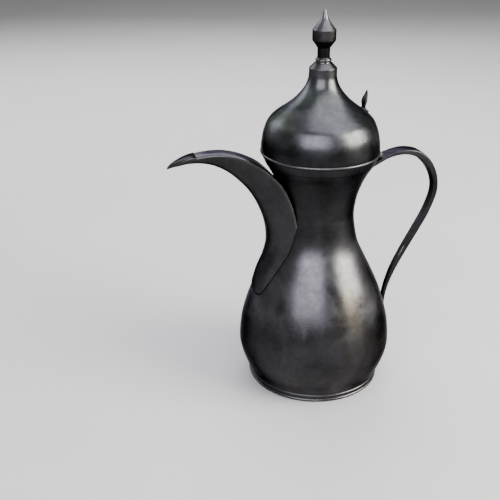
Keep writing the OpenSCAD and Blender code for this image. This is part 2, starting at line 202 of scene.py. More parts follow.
def finished_mesh(name, points, faces, sharp=SHARP_ANGLE):
    """A mesh from millimetre points, smooth except across its sharp edges."""
    mesh = bpy.data.meshes.new(name)
    mesh.from_pydata([tuple(v * MM for v in p) for p in points], [], faces)
    mesh.validate()
    mesh.polygons.foreach_set("use_smooth", [True] * len(mesh.polygons))
    mesh.set_sharp_from_angle(angle=math.radians(sharp))
    return mesh


def lathe_mesh(name, outline, segments, closed, amount=1.0, sharp=SHARP_ANGLE):
    """A turned mesh. A closed outline makes a shell, and an open one starts and ends on the axis.

    amount is how much of the sheet's unevenness it takes.
    """
    points, rings = [], []
    for r, z in outline:
        if r < 1e-6:
            rings.append([len(points)] * segments)
            points.append((0, 0, z))
            continue
        ring = []
        for k in range(segments):
            a = 2 * math.pi * k / segments
            p = (r * math.cos(a), r * math.sin(a), z)
            off = amount * uneven(p)
            ring.append(len(points))
            points.append(((r + off) * math.cos(a), (r + off) * math.sin(a), z))
        rings.append(ring)
    faces = []
    count = len(rings)
    for i in range(count if closed else count - 1):
        low, high = rings[i], rings[(i + 1) % count]
        for k in range(segments):
            j = (k + 1) % segments
            quad = [low[k], low[j], high[j], high[k]]
            face = [v for n, v in enumerate(quad) if v not in quad[:n]]
            if len(face) > 2:
                faces.append(face)
    return finished_mesh(name, points, faces, sharp)


def grid_mesh(name, rows, wrap=False, caps=False, sharp=SHARP_ANGLE):
    """A mesh through rows of points. wrap closes each row, and caps closes both ends."""
    points = [p for row in rows for p in row]
    n = len(rows[0])
    faces = []
    for i in range(len(rows) - 1):
        for k in range(n if wrap else n - 1):
            j = (k + 1) % n
            faces.append([i * n + k, i * n + j, (i + 1) * n + j, (i + 1) * n + k])
    if caps:
        faces.append(list(range(n - 1, -1, -1)))
        faces.append([(len(rows) - 1) * n + k for k in range(n)])
    return finished_mesh(name, points, faces, sharp)


def outward(mesh):
    """Turns every face of a closed mesh outwards."""
    bm = bmesh.new()
    bm.from_mesh(mesh)
    bmesh.ops.recalc_face_normals(bm, faces=bm.faces)
    bm.to_mesh(mesh)
    bm.free()


def add_piece(name, mesh, body, slot, stands_for=(), metal=None):
    """Puts a mesh in the scene on a body, with its slot's metal unless another is given."""
    outward(mesh)
    piece = bpy.data.objects.new(name, mesh)
    bpy.context.scene.collection.objects.link(piece)
    mesh.materials.append(metal or METALS[slot])
    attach(piece, body)
    if stands_for:
        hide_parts(*stands_for)
    return piece


# ---- materials -----------------------------------------------------------------------


class Nodes:
    """Short names for building one material's nodes."""

    # the Mix node's colour sockets, which share their names with its other kinds
    MIX_A, MIX_B, MIX_RESULT = 6, 7, 2

    def __init__(self, name):
        self.material = bpy.data.materials.new(name)
        self.material.use_nodes = True
        self.tree = self.material.node_tree
        self.tree.nodes.clear()

    def add(self, kind, **settings):
        node = self.tree.nodes.new(kind)
        for key, value in settings.items():
            setattr(node, key, value)
        return node

    def link(self, source, target):
        self.tree.links.new(source, target)

    def noise(self, place, scale, detail=4, rough=0.55, distort=0.0):
        node = self.add("ShaderNodeTexNoise")
        node.inputs["Scale"].default_value = scale
        node.inputs["Detail"].default_value = detail
        node.inputs["Roughness"].default_value = rough
        node.inputs["Distortion"].default_value = distort
        self.link(place, node.inputs["Vector"])
        return node.outputs["Fac"]

    def stretch(self, place, scale):
        node = self.add("ShaderNodeMapping")
        node.inputs["Scale"].default_value = scale
        self.link(place, node.inputs["Vector"])
        return node.outputs["Vector"]

    def spread(self, value, low, high, to_low, to_high, smooth=False):
        node = self.add("ShaderNodeMapRange")
        node.interpolation_type = "SMOOTHSTEP" if smooth else "LINEAR"
        limits = {"From Min": low, "From Max": high, "To Min": to_low, "To Max": to_high}
        for socket, number in limits.items():
            node.inputs[socket].default_value = number
        self.link(value, node.inputs["Value"])
        return node.outputs["Result"]

    def math(self, what, a, b):
        node = self.add("ShaderNodeMath", operation=what)
        for socket, value in zip(node.inputs, (a, b)):
            if isinstance(value, (int, float)):
                socket.default_value = value
            else:
                self.link(value, socket)
        return node.outputs["Value"]

    def painted_shading_by_height(self, place, waver, keys, colour, drift):
        """Multiplies a colour by painted shade and highlight factors set for each height."""
        split = self.add("ShaderNodeSeparateXYZ")
        self.link(place, split.inputs["Vector"])
        height = self.math("ADD", split.outputs["Z"], self.math("MULTIPLY", waver, drift * MM))
        low, high = keys[0][0], keys[-1][0]
        share = self.spread(height, (low + drift / 2) * MM, (high + drift / 2) * MM, 0, 1)
        ramp = self.add("ShaderNodeValToRGB")
        ramp.color_ramp.interpolation = "EASE"
        stops = ramp.color_ramp.elements
        while len(stops) < len(keys):
            stops.new(0.5)
        for stop, (z, level) in zip(stops, keys):
            stop.position = (z - low) / (high - low)
            stop.color = (level / 2, level / 2, level / 2, 1)
        self.link(share, ramp.inputs["Fac"])
        node = self.add("ShaderNodeVectorMath", operation="MULTIPLY")
        self.link(colour, node.inputs[0])
        self.link(ramp.outputs["Color"], node.inputs[1])
        double = self.add("ShaderNodeVectorMath", operation="SCALE")
        self.link(node.outputs["Vector"], double.inputs[0])
        double.inputs["Scale"].default_value = 2
        return double.outputs["Vector"]

    def blend(self, share, a, b):
        node = self.add("ShaderNodeMix", data_type="RGBA")
        self.link(share, node.inputs["Factor"])
        for index, value in ((self.MIX_A, a), (self.MIX_B, b)):
            if isinstance(value, tuple):
                node.inputs[index].default_value = (*value, 1)
            else:
                self.link(value, node.inputs[index])
        return node.outputs[self.MIX_RESULT]


# How fine each texture of the metal is, per metre
CLOUD_SCALE, STAIN_SCALE, PATCH_SCALE, GRAIN_SCALE, PIT_SCALE, FINE_SCALE = 26, 17, 34, 230, 520, 1500
ROUND_LINES, SLANTED_LINES = (14, 14, 900), (700, 260, 35)
BUMP_STRENGTH, BUMP_METRES = 0.42, 0.00016


def aged_metal(name, dark, light, stain, rough=(0.24, 0.40), pits=0.7, scratches=1.0, edge=0.10,
               tint=0.30, rubbed=True, painted_shading_by_height=None, drift=16):
    """Old dark metal: drifting patina, brown stains, fine scratches, pits and rubbed edges, with painted
    shade and highlights by height where a table is given.
    """
    n = Nodes(name)
    place = n.add("ShaderNodeTexCoord").outputs["Object"]
    clouds = n.noise(place, CLOUD_SCALE, detail=5, rough=0.6, distort=0.4)
    grain = n.noise(place, GRAIN_SCALE, detail=6, rough=0.65)
    stains = n.noise(n.stretch(place, (1, 1, 0.45)), STAIN_SCALE, detail=4, rough=0.5, distort=0.8)
    fine = n.noise(place, FINE_SCALE, detail=3, rough=0.6)

    colour = n.blend(n.spread(clouds, 0.34, 0.66, 0, 1, True), dark, light)
    colour = n.blend(n.spread(stains, 0.52, 0.74, 0, 0.75, True), colour, stain)
    colour = n.blend(n.spread(grain, 0.30, 0.72, 0, 0.35), colour, tuple(0.45 * c for c in dark))
    # painted shade and highlights: the colour is darkened or lightened by height
    if painted_shading_by_height:
        colour = n.painted_shading_by_height(place, clouds, painted_shading_by_height, colour, drift)
    if rubbed:
        ridges = n.add("ShaderNodeNewGeometry").outputs["Pointiness"]
        rub = n.math("MULTIPLY", n.spread(ridges, 0.515, 0.60, 0, 1, True),
                     n.spread(grain, 0.35, 0.6, 0.35, 1))
        colour = n.blend(rub, colour, (edge, edge * 0.97, edge * 0.92))

    # pits: small dark craters that gather in patches
    cells = n.add("ShaderNodeTexVoronoi")
    cells.inputs["Scale"].default_value = PIT_SCALE
    n.link(place, cells.inputs["Vector"])
    patches = n.spread(n.noise(place, PATCH_SCALE, detail=3), 0.50, 0.68, 0, 1, True)
    crater = n.math("MULTIPLY", n.spread(cells.outputs["Distance"], 0.10, 0.30, 1, 0, True), patches)
    colour = n.blend(n.math("MULTIPLY", crater, 0.75 * pits), colour, tuple(0.3 * c for c in dark))

    # scratches: hair lines round the pot, and a few slanted ones
    around = n.noise(n.stretch(place, ROUND_LINES), 1, detail=4, rough=0.7)
    slanted = n.noise(n.stretch(place, SLANTED_LINES), 1, detail=3, rough=0.7)
    lines = n.math("ADD", n.spread(around, 0.60, 0.74, 0, 1, True),
                   n.spread(slanted, 0.66, 0.78, 0, 0.8, True))
    colour = n.blend(n.math("MULTIPLY", lines, 0.18 * scratches), colour, (edge, edge, edge * 0.98))

    rough_map = n.math("ADD", n.spread(clouds, 0.3, 0.7, rough[0], rough[1]),
                       n.spread(grain, 0.3, 0.7, -0.04, 0.05))
    rough_map = n.math("ADD", rough_map, n.math("MULTIPLY", crater, 0.22))
    rough_map = n.math("ADD", rough_map, n.math("MULTIPLY", lines, 0.06 * scratches))

    height = n.math("MULTIPLY", grain, 0.40)
    height = n.math("ADD", height, n.math("MULTIPLY", fine, 0.14))
    height = n.math("SUBTRACT", height, n.math("MULTIPLY", crater, 0.75 * pits))
    height = n.math("ADD", height, n.math("MULTIPLY", lines, -0.12 * scratches))
    bump = n.add("ShaderNodeBump")
    bump.inputs["Strength"].default_value = BUMP_STRENGTH
    bump.inputs["Distance"].default_value = BUMP_METRES
    n.link(height, bump.inputs["Height"])

    shader = n.add("ShaderNodeBsdfPrincipled")
    shader.inputs["Metallic"].default_value = 1
    shader.inputs["Specular Tint"].default_value = (tint, tint, tint * 1.04, 1)
    n.link(colour, shader.inputs["Base Color"])
    n.link(rough_map, shader.inputs["Roughness"])
    n.link(bump.outputs["Normal"], shader.inputs["Normal"])
    n.link(shader.outputs["BSDF"], n.add("ShaderNodeOutputMaterial").inputs["Surface"])
    return n.material


# painted shade and highlights as (height, how much of the metal's colour is left there): darker bands are
# painted shade, lighter bands painted highlights
POT_PAINTED_SHADING = [(0, 1.0), (20, 1.05), (42, 0.50), (62, 0.46), (84, 1.10), (130, 1.10), (152, 0.40),
               (190, 0.29), (218, 0.40)]
# the lid's lower band is painted dark as shade, and its middle is painted lighter as a highlight
LID_PAINTED_SHADING = [(217, 0.26), (229, 0.30), (240, 0.92), (262, 1.05), (284, 0.90), (290, 0.80)]
# the finial's stem and bulb are painted dark as shade, and its cup, ring and cone are painted lighter as
# highlights
FINIAL_PAINTED_SHADING = [(287, 1.25), (297, 1.1), (298.4, 0.9), (298.8, 0.18), (320.5, 0.17), (320.9, 1.15),
                  (337, 1.5)]
# the handle is painted dark as shade, less so at its top, where a painted highlight lies on the top face
HANDLE_PAINTED_SHADING = [(40, 0.62), (190, 0.55), (203, 0.62), (210, 0.85), (218, 0.95)]
# each slot's metal; the pot, lid, finial and handle metals carry painted shade and highlights by height
METALS = {
    "pot_metal": aged_metal(
        "pot_patina_painted_shading", (0.044, 0.043, 0.045), (0.080, 0.078, 0.083), (0.052, 0.043, 0.026),
        edge=0.13, rubbed=False, painted_shading_by_height=POT_PAINTED_SHADING),
    "lid_metal": aged_metal(
        "lid_patina_painted_shading", (0.046, 0.049, 0.050), (0.084, 0.085, 0.091), (0.045, 0.050, 0.030),
        edge=0.13, rubbed=False, painted_shading_by_height=LID_PAINTED_SHADING),
    # a darker copy of the pot's metal, painted shade on the spout's sides and the thumb leaf
    "spout_metal": aged_metal(
        "spout_patina_painted_shade", (0.022, 0.022, 0.023), (0.036, 0.036, 0.038), (0.026, 0.024, 0.017),
        edge=0.09),
    # a darker copy of the pot's metal, painted shade on the handle, with painted shading by height
    "handle_metal": aged_metal(
        "handle_patina_painted_shading", (0.026, 0.025, 0.027), (0.044, 0.043, 0.047), (0.028, 0.025, 0.018),
        rough=(0.26, 0.40), edge=0.16, painted_shading_by_height=HANDLE_PAINTED_SHADING, drift=6),
    "band_metal": aged_metal(
        "band_patina", (0.058, 0.057, 0.058), (0.096, 0.094, 0.096), (0.050, 0.044, 0.034),
        edge=0.30),
    "finial_metal": aged_metal(
        "finial_patina_painted_shading", (0.046, 0.046, 0.047), (0.078, 0.078, 0.082), (0.045, 0.040, 0.029),
        edge=0.16, painted_shading_by_height=FINIAL_PAINTED_SHADING, drift=0.6),
    "hinge_metal": aged_metal(
        "hinge_patina", (0.022, 0.021, 0.022), (0.036, 0.035, 0.036), (0.024, 0.020, 0.014),
        rough=(0.30, 0.46), edge=0.06),
    "fastener_metal": aged_metal(
        "fastener_patina", (0.050, 0.049, 0.049), (0.085, 0.083, 0.083), (0.046, 0.040, 0.030),
        edge=0.20),
}
# a lighter copy of the metal for the spout's cover plate, a painted highlight on its top face
COVER_PAINTED_HIGHLIGHT_METAL = aged_metal(
    "cover_patina_painted_highlight", (0.060, 0.060, 0.063), (0.095, 0.094, 0.100), (0.058, 0.054, 0.046), edge=0.16)
# solder, painted near-black as the shadow in the joints round the spout's root and along the cover's edges
SEAM_PAINTED_SHADOW_METAL = aged_metal(
    "seam_solder_painted_shadow", (0.006, 0.006, 0.006), (0.012, 0.011, 0.011), (0.008, 0.007, 0.005),
    rough=(0.5, 0.6), edge=0.02, tint=0.1)

# The CAD nodes keep their shapes, and take the metal of their slot
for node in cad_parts.values():
    for holder in node.material_slots:
        holder.material = METALS[holder.material.name.split(".")[0]]

# ---- the turned sheet metal ----------------------------------------------------------

ROUND = 224
GROOVE = ((FOOT_R + 1.2, 7.4), 1.025)
GROOVE_STEPS, GROOVE_EDGE = 16, 0.05


def grooved(points):
    """Cuts the turned groove above the foot into an outline."""
    (x, z0), r = GROOVE
    low, high = z0 - r, z0 + r
    heights = [mix(low, high, k / GROOVE_STEPS) for k in range(GROOVE_STEPS + 1)]
    radii = [(z, q) for q, z in points]
    cut = [(min(lookup(radii, z), x - math.sqrt(max(r * r - (z - z0) ** 2, 0))), z) for z in heights]
    below = [p for p in points if p[1] < low - GROOVE_EDGE]
    above = [p for p in points if p[1] > high + GROOVE_EDGE]
    return below + cut + above


outer = grooved(between(POT_PATH, FOOT_H, WAIST_Z))
inner = between(shifted(POT_PATH, WALL), FOOT_H, WAIST_Z)
belly = add_piece("belly_sheet", lathe_mesh("belly_sheet", outer + inner[::-1], ROUND, True),
                  "pot", "pot_metal", ["belly_shell"])

# the strainer holes behind the root of the spout are cut through the sheet
STRAINER_R, STRAINER_PITCH, STRAINER_LOW, STRAINER_ROWS = 2, 8, 107, 6
SIDES, DRILL_FROM = 20, -78
drills, faces = [], []
for row in range(STRAINER_ROWS):
    for column in (-1, 0, 1):
        y, z = column * STRAINER_PITCH, STRAINER_LOW + row * STRAINER_PITCH
        base = len(drills)
        for x in (DRILL_FROM, -WAIST_R / 2):
            for k in range(SIDES):
                a = 2 * math.pi * k / SIDES
                drills.append((x, y + STRAINER_R * math.cos(a), z + STRAINER_R * math.sin(a)))
        for k in range(SIDES):
            j = (k + 1) % SIDES
            faces.append([base + k, base + j, base + SIDES + j, base + SIDES + k])
        faces.append([base + k for k in range(SIDES - 1, -1, -1)])
        faces.append([base + SIDES + k for k in range(SIDES)])
drill = bpy.data.objects.new("drill", finished_mesh("drill", drills, faces))
outward(drill.data)
bpy.context.scene.collection.objects.link(drill)


def apply_modifiers(piece):
    """Makes the modifiers part of the piece's mesh."""
    graph = bpy.context.evaluated_depsgraph_get()
    graph.update()
    shaped = bpy.data.meshes.new_from_object(piece.evaluated_get(graph), depsgraph=graph)
    piece.modifiers.clear()
    piece.data = shaped


cut = belly.modifiers.new("strainer", "BOOLEAN")
cut.operation, cut.solver, cut.object = "DIFFERENCE", "EXACT", drill
apply_modifiers(belly)
bpy.data.objects.remove(drill)

outer = between(POT_PATH, WAIST_Z, COLLAR_Z)
step = between(shifted(POT_PATH, COLLAR_T), COLLAR_Z, RIM_Z - COLLAR_LIP)
lining = between(shifted(POT_PATH, COLLAR_T + WALL), COLLAR_Z - JOGGLE, RIM_Z - COLLAR_LIP)
inner = between(shifted(POT_PATH, WALL), WAIST_Z, COLLAR_Z - JOGGLE)
add_piece("neck_sheet", lathe_mesh("neck_sheet", outer + step + lining[::-1] + inner[::-1], ROUND, True),
          "pot", "pot_metal", ["neck_shell"])

outer = between(POT_PATH, COLLAR_Z + COLLAR_GAP, RIM_Z)
top_in = shifted(POT_PATH, COLLAR_T + WALL)[-1][0]
back = between(shifted(POT_PATH, COLLAR_T), COLLAR_Z + COLLAR_GAP, RIM_Z - COLLAR_LIP)
collar = outer + [(top_in, RIM_Z), (top_in, RIM_Z - COLLAR_LIP)] + back[::-1]
add_piece("collar_band", lathe_mesh("collar_band", soften(collar, 0.35, True), ROUND, True, 0.6),
          "pot", "band_metal", ["mouth_collar"], METALS["pot_metal"])

foot = ([(FOOT_R - FOOT_RING_DEPTH, 0)]
        + arc((FOOT_R - FOOT_ROUND_IN, FOOT_H / 2), FOOT_H / 2, -90, 90, 24)
        + [(FOOT_R - FOOT_RING_DEPTH, FOOT_H)])
add_piece("foot_wire", lathe_mesh("foot_wire", foot, ROUND, True, 0.5), "pot", "band_metal", ["foot_ring"])

# ---- the lid -------------------------------------------------------------------------

dome_out = between(LID_PATH, LID_Z + BEAD_H, LID_TOP)
dome_in = between(shifted(LID_PATH, LID_WALL), LID_Z, LID_TOP - LID_WALL)
dome = ([(0, LID_TOP - LID_WALL)] + dome_in[::-1]
        + [(LID_R - BEAD_DEPTH, LID_Z), (LID_R - BEAD_DEPTH, LID_Z + BEAD_H)] + dome_out + [(0, LID_TOP)])
add_piece("lid_sheet", lathe_mesh("lid_sheet", soften(dome, 0.25, turn=50), ROUND, False, 0.9),
          "lid", "lid_metal", ["lid_dome"])

bead = ([(LID_R - BEAD_DEPTH, LID_Z)]
        + arc((LID_R - BEAD_ROUND_IN, LID_Z + BEAD_H / 2), BEAD_H / 2, -90, 90, 20)
        + [(LID_R - BEAD_DEPTH, LID_Z + BEAD_H)])
add_piece("lid_bead", lathe_mesh("lid_bead", bead, ROUND, True, 0.5), "lid", "band_metal", ["lid_rim_bead"])

SOCKET_H, RING_H, STUD_R, STUD_DROP = 5, 4, 3, 8
FINIAL_ROUND = 128
RING_Z = LID_TOP + SOCKET_H
KNOB_Z = RING_Z + RING_H
socket = [(STUD_R, LID_TOP), (LID_NECK_R, LID_TOP), (LID_NECK_R, LID_TOP + 0.6), (7.4, RING_Z),
          (STUD_R, RING_Z)]
add_piece("finial_cup", lathe_mesh("finial_cup", soften(socket, 0.25, True), FINIAL_ROUND, True, 0.5, 20),
          "lid", "finial_metal", ["finial_socket"])

ring = ([(STUD_R, RING_Z), (6.1, RING_Z)] + arc((5.1, RING_Z + RING_H / 2), RING_H / 2 - 0.3, -60, 60, 14)
        + [(5.5, KNOB_Z), (STUD_R, KNOB_Z)])
add_piece("finial_torus", lathe_mesh("finial_torus", ring, FINIAL_ROUND, True, 0.4, 24),
          "lid", "finial_metal", ["finial_ring"])

BULB_LOW, BULB_HIGH = TIP_Z - 25, TIP_Z - 16.3
stem = curve_through([(5.3, KNOB_Z), (5.2, KNOB_Z + 3.8), (5.3, BULB_LOW - 5.7)], 8)
spire = curve_through([(BULB_R, BULB_HIGH), (8.2, BULB_HIGH + 1.9), (6.6, BULB_HIGH + 3.9),
                       (4.8, BULB_HIGH + 6.2), (3.1, BULB_HIGH + 8.9), (2.1, BULB_HIGH + 11.6),
                       (1.4, TIP_Z - 1.7)], 6)
knob = ([(0, LID_TOP - STUD_DROP), (STUD_R, LID_TOP - STUD_DROP), (STUD_R, KNOB_Z)] + stem
        + [(BULB_R - 0.3, BULB_LOW), (BULB_R, BULB_LOW + 1)] + spire + [(0.8, TIP_Z - 0.4), (0, TIP_Z)])
add_piece("finial_turning", lathe_mesh("finial_turning", knob, FINIAL_ROUND, False, 0.4, 14),
          "lid", "finial_metal", ["finial_knob"])

# ---- the spout -----------------------------------------------------------------------

# [top x, top z, keel x, keel z, half width] of each cross-section, from the tip into the pot
SPOUT_KEYS = [
    (-133.8, 214.1, -133.4, 213, 1.2), (-130.4, 216.6, -130.2, 214.6, 3.7),
    (-125, 219.3, -124.9, 215.6, 5.6), (-117, 222.2, -116.7, 217, 7.3),
    (-107, 224.1, -106.4, 216.7, 8.3), (-96, 224.9, -94.6, 213.7, 9),
    (-85, 224.2, -82.8, 207.2, 9.6), (-74, 221.4, -72.9, 198.6, 10.5), (-64, 217, -64.5, 189.2, 12.2),
    (-54.5, 211.5, -58, 179, 14.2), (-45.5, 203.4, -53, 168.5, 16.5), (-37, 192.7, -49.3, 157.5, 18.4),
    (-29.5, 175.5, -47.3, 146, 19.4), (-25, 154.5, -47.4, 134.5, 19.8), (-26, 135.5, -50.6, 123, 19.8),
    (-31, 118.5, -56, 111.5, 19.2), (-39, 105, -59.4, 101, 17.6), (-46.5, 97.5, -60.4, 95.5, 15.6),
    (-51.5, 93.5, -60.4, 91.5, 13), (-54, 90.5, -57.2, 88.8, 9.5)]
FULLNESS = 2.4
COVER_T = 1.2
SPOUT_WALL = 1
MOUTH_X = SPOUT_KEYS[0][0] + 24
ROOT_S = float(len(SPOUT_KEYS) - 1)
SINK = 0.5


def spout_point(s, angle):
    """A point of the spout's skin, s cross-sections from the tip and round from one edge to the other."""
    tx, tz, kx, kz, w = curve_at(SPOUT_KEYS, s)
    c, d = math.cos(angle), max(math.sin(angle), 0)
    across = math.copysign(abs(c) ** (2 / FULLNESS), c)
    depth = d ** (2 / FULLNESS)
    return (tx + (kx - tx) * depth, w * across, tz + (kz - tz) * depth)


def depth_in_pot(p):
    """How far a point is inside the pot's outer surface, and negative outside it."""
    return pot_radius(p[2]) - math.hypot(p[0], p[1])


def halved(is_before, a, b, turns):
    """Closes in on the place between a and b where a test stops being true."""
    for _ in range(turns):
        middle = (a + b) / 2
        if is_before(middle):
            a = middle
        else:
            b = middle
    return a, b


ROOT_SEARCH_FROM, ROOT_SEARCH_STEP = 6.0, 0.1


def root_of(point_at, sink):
    """How far along the spout a line of its surface first dips this deep into the pot's wall."""
    def outside(s):
        return depth_in_pot(point_at(s)) < sink

    s = ROOT_SEARCH_FROM
    while s < ROOT_S and outside(s):
        s += ROOT_SEARCH_STEP
    if s >= ROOT_S:
        return ROOT_S
    a, b = halved(outside, s - ROOT_SEARCH_STEP, s, 24)
    return (a + b) / 2


# where along the spout the cover starts and the open mouth ends
MOUTH_S = halved(lambda s: curve_at(SPOUT_KEYS, s)[0] < MOUTH_X, 0.0, 8.0, 40)[0]


def edge_angle(s):
    """Where the skin starts below the cover, or at the very edge in the open mouth."""
    if s < MOUTH_S:
        return 0.0
    tx, tz, kx, kz, w = curve_at(SPOUT_KEYS, s)
    share = min(COVER_T / math.hypot(kx - tx, kz - tz), 0.9)
    return math.asin(share ** (FULLNESS / 2))


def sunk(p):
    """Holds a point just under the outer face of the pot's wall where it would go deeper."""
    if depth_in_pot(p) <= SINK:
        return p
    flat, far = math.hypot(p[0], p[1]), pot_radius(p[2]) - SINK
    return (p[0] / flat * far, p[1] / flat * far, p[2])


ACROSS, ALONG, MOUTH_ROWS, KEEL_ROW = 72, 170, 40, 20
rows = []
for k in range(ALONG + 1):
    if k < MOUTH_ROWS:
        s = MOUTH_S * k / MOUTH_ROWS
    elif k == MOUTH_ROWS:
        s = MOUTH_S - 0.0001
    else:
        s = mix(MOUTH_S + 0.01, ROOT_S, (k - MOUTH_ROWS - 1) / (ALONG - MOUTH_ROWS - 1))
    first = edge_angle(s)
    rows.append([spout_point(s, mix(first, math.pi - first, i / ACROSS)) for i in range(ACROSS + 1)])


def inner_rows(rows, thickness):
    """Rows of the same sheet's inner side, moved along its normals."""
    mesh = grid_mesh("scratch", rows)
    n = len(rows[0])
    keel = mesh.vertices[KEEL_ROW * n + n // 2]
    inwards = thickness * (-1 if keel.normal.z < 0 else 1)
    out = [[tuple(Vector(p) + mesh.vertices[k * n + i].normal * inwards) for i, p in enumerate(row)]
           for k, row in enumerate(rows)]
    bpy.data.meshes.remove(mesh)
    return out


inside = inner_rows(rows, SPOUT_WALL)
loops = [[sunk(p) for p in outer_row + inner_row[::-1]]
         for outer_row, inner_row in zip(rows, inside)]
add_piece("spout_sheet", grid_mesh("spout_sheet", loops, wrap=True, caps=True), "pot", "spout_metal",
          ["spout_shell"])

# the flat cover between the two edges, from the mouth to the pot
STRIPS, COVER_STEPS = 32, 90
CROWN, EDGE_DROP = 0.3, 1.1


def cover_point(s, v, down):
    """A point of the cover, v from one side (-1) to the other (1) and this far below its top."""
    tx, tz, kx, kz, w = curve_at(SPOUT_KEYS, s)
    run = math.hypot(kx - tx, kz - tz)
    fall = min(1, max(0, (MOUTH_S + 14 - s) / 12))
    crown = CROWN * (1 - v * v) - EDGE_DROP * fall * abs(v) ** 5 * (1 if down == 0 else 0.15)
    return (tx + (kx - tx) / run * (down - crown), w * v, tz + (kz - tz) / run * (down - crown))


tops = []
for i in range(STRIPS + 1):
    v = -1 + 2 * i / STRIPS
    tops.append((v, root_of(lambda s: cover_point(s, v, 0), SINK)))
loops = []
for k in range(COVER_STEPS + 1):
    share = k / COVER_STEPS
    upper = [cover_point(mix(MOUTH_S, end, share), v, 0) for v, end in tops]
    lower = [cover_point(mix(MOUTH_S, end, share), v, COVER_T) for v, end in reversed(tops)]
    loops.append(upper + lower)
# the cover takes the lighter metal, a painted highlight
add_piece("spout_lid_plate", grid_mesh("spout_lid_plate", loops, wrap=True, caps=True), "pot", "spout_metal",
          ["spout_cover"], COVER_PAINTED_HIGHLIGHT_METAL)


def bead_along(name, line, r, body, slot, metal, sides=10, swell=0.25):
    """A soft run of solder along a line of points."""
    loops = []
    count = len(line)
    for k, p in enumerate(line):
        a, b = Vector(line[max(k - 1, 0)]), Vector(line[min(k + 1, count - 1)])
        run = (b - a).normalized()
        side = run.cross(Vector((0, 0, 1)))
        if side.length < 1e-3:
            side = run.cross(Vector((0, 1, 0)))
        side.normalize()
        up = side.cross(run)
        fat = r * (1 + swell * noise.noise(Vector(p) / 3.5)) * min(1, 0.35 + 0.2 * min(k, count - 1 - k))
        loops.append([tuple(Vector(p) + side * fat * math.cos(2 * math.pi * j / sides)
                            + up * fat * math.sin(2 * math.pi * j / sides)) for j in range(sides)])
    return add_piece(name, grid_mesh(name, loops, wrap=True, caps=True), body, slot, metal=metal)


SEAM_CENTRE_S, SEAM_REACH_S, SEAM_STEP = 13.2, 5.9, 0.004
SEAM_WAYS, SEAM_R, EDGE_SEAM_R = 120, 0.6, 0.22


def seam_point(way):
    """Where the skin meets the pot, going this way from the middle of the skin.

    It gives the last point before the skin's own edge if the pot isn't reached.
    """
    t = 0.0
    last = None
    while True:
        s = SEAM_CENTRE_S + SEAM_REACH_S * t * math.sin(way)
        angle = math.pi / 2 * (1 - t * math.cos(way))
        if s >= ROOT_S or min(angle, math.pi - angle) < edge_angle(min(s, ROOT_S)):
            return last
        p = spout_point(s, angle)
        if t > 0 and depth_in_pot(p) > -0.1:
            return p
        last = p
        t += SEAM_STEP


seam = [seam_point(math.radians(mix(-8, 188, i / SEAM_WAYS))) for i in range(SEAM_WAYS + 1)]
seam = [p for p in seam if depth_in_pot(p) > -0.5]
# the root seam bead is painted near-black, a painted shadow in the joint
bead_along("spout_seam", seam, SEAM_R, "pot", "spout_metal", SEAM_PAINTED_SHADOW_METAL)
# the beads along the cover's edges are painted near-black, a painted shadow in the gaps
for side, name in ((0, "spout_edge_left"), (STRIPS, "spout_edge_right")):
    v, end = tops[side]
    edge = [cover_point(mix(MOUTH_S, end - 0.02, k / 120), v * 0.995, COVER_T) for k in range(121)]
    bead_along(name, edge, EDGE_SEAM_R, "pot", "spout_metal", SEAM_PAINTED_SHADOW_METAL, sides=8)

# ---- the handle ----------------------------------------------------------------------

STRAP_T, STRAP_W = 6.5, 7.2
AROUND, STRAP_SQUARENESS, STRAP_UNEVEN = 44, 0.36, 0.8
# (x, z, thickness as a share) down the bar, and (height, half width as a share)
STRAP_KEYS = [
    (40, 198, 0.5), (52, 204.7, 0.5), (63.9, 210.4, 0.53), (78, 212.6, 0.71), (90.5, 209.8, 0.94),
    (99.1, 203.4, 1), (105.9, 195.1, 0.9), (110.8, 183.4, 0.8), (111.4, 170.3, 0.79),
    (105.9, 153.1, 0.85), (97, 135.6, 0.89), (86.9, 117.1, 0.86), (78.1, 99.3, 0.75),
    (72.6, 84.3, 0.58), (69.8, 72.4, 0.48), (68.9, 60.5, 0.4), (68.9, 47.5, 0.34)]
STRAP_WIDTHS = [(40, 0.36), (76, 0.39), (101, 0.43), (131, 0.46), (151, 0.51), (166, 0.58), (183, 0.69),
                (196, 0.83), (206, 0.94), (218, 1)]
WIDTH_CURVE = curve_through(STRAP_WIDTHS, 8)


def bar_loops(line, sizes, sides, power, finish=lambda p, out: p):
    """Cross-sections of a bar along (x, z) points, each a squared ellipse.

    sizes holds (half thickness, half width) for every point, and finish(p, out) settles each corner,
    with out the direction the bar's thickness runs in.
    """
    loops = []
    for k, ((x, z), (half_t, half_w)) in enumerate(zip(line, sizes)):
        a, b = line[max(k - 1, 0)], line[min(k + 1, len(line) - 1)]
        run = math.hypot(b[0] - a[0], b[1] - a[1])
        out = (-(b[1] - a[1]) / run, (b[0] - a[0]) / run)
        loop = []
        for j in range(sides):
            angle = 2 * math.pi * j / sides
            c, s = math.cos(angle), math.sin(angle)
            across = half_w * math.copysign(abs(c) ** power, c)
            thick = half_t * math.copysign(abs(s) ** power, s)
            loop.append(tuple(finish((x + out[0] * thick, across, z + out[1] * thick), out)))
        loops.append(loop)
    return loops


def strap_finish(p, out):
    """Makes the bar slightly uneven, and stops it just under the pot's surface."""
    p = Vector(p)
    p += Vector((out[0], 0, out[1])) * uneven(p) * STRAP_UNEVEN
    return Vector(sunk(p))


strap = curve_through(STRAP_KEYS, 12)
sizes = [(STRAP_T / 2 * share, STRAP_W * lookup(WIDTH_CURVE, z)) for x, z, share in strap]
loops = bar_loops([(x, z) for x, z, share in strap], sizes, AROUND, STRAP_SQUARENESS, strap_finish)
add_piece("handle_bar", grid_mesh("handle_bar", loops, wrap=True, caps=True, sharp=50),
          "pot", "handle_metal", ["handle_strap"])

# ---- the thumb leaf ------------------------------------------------------------------

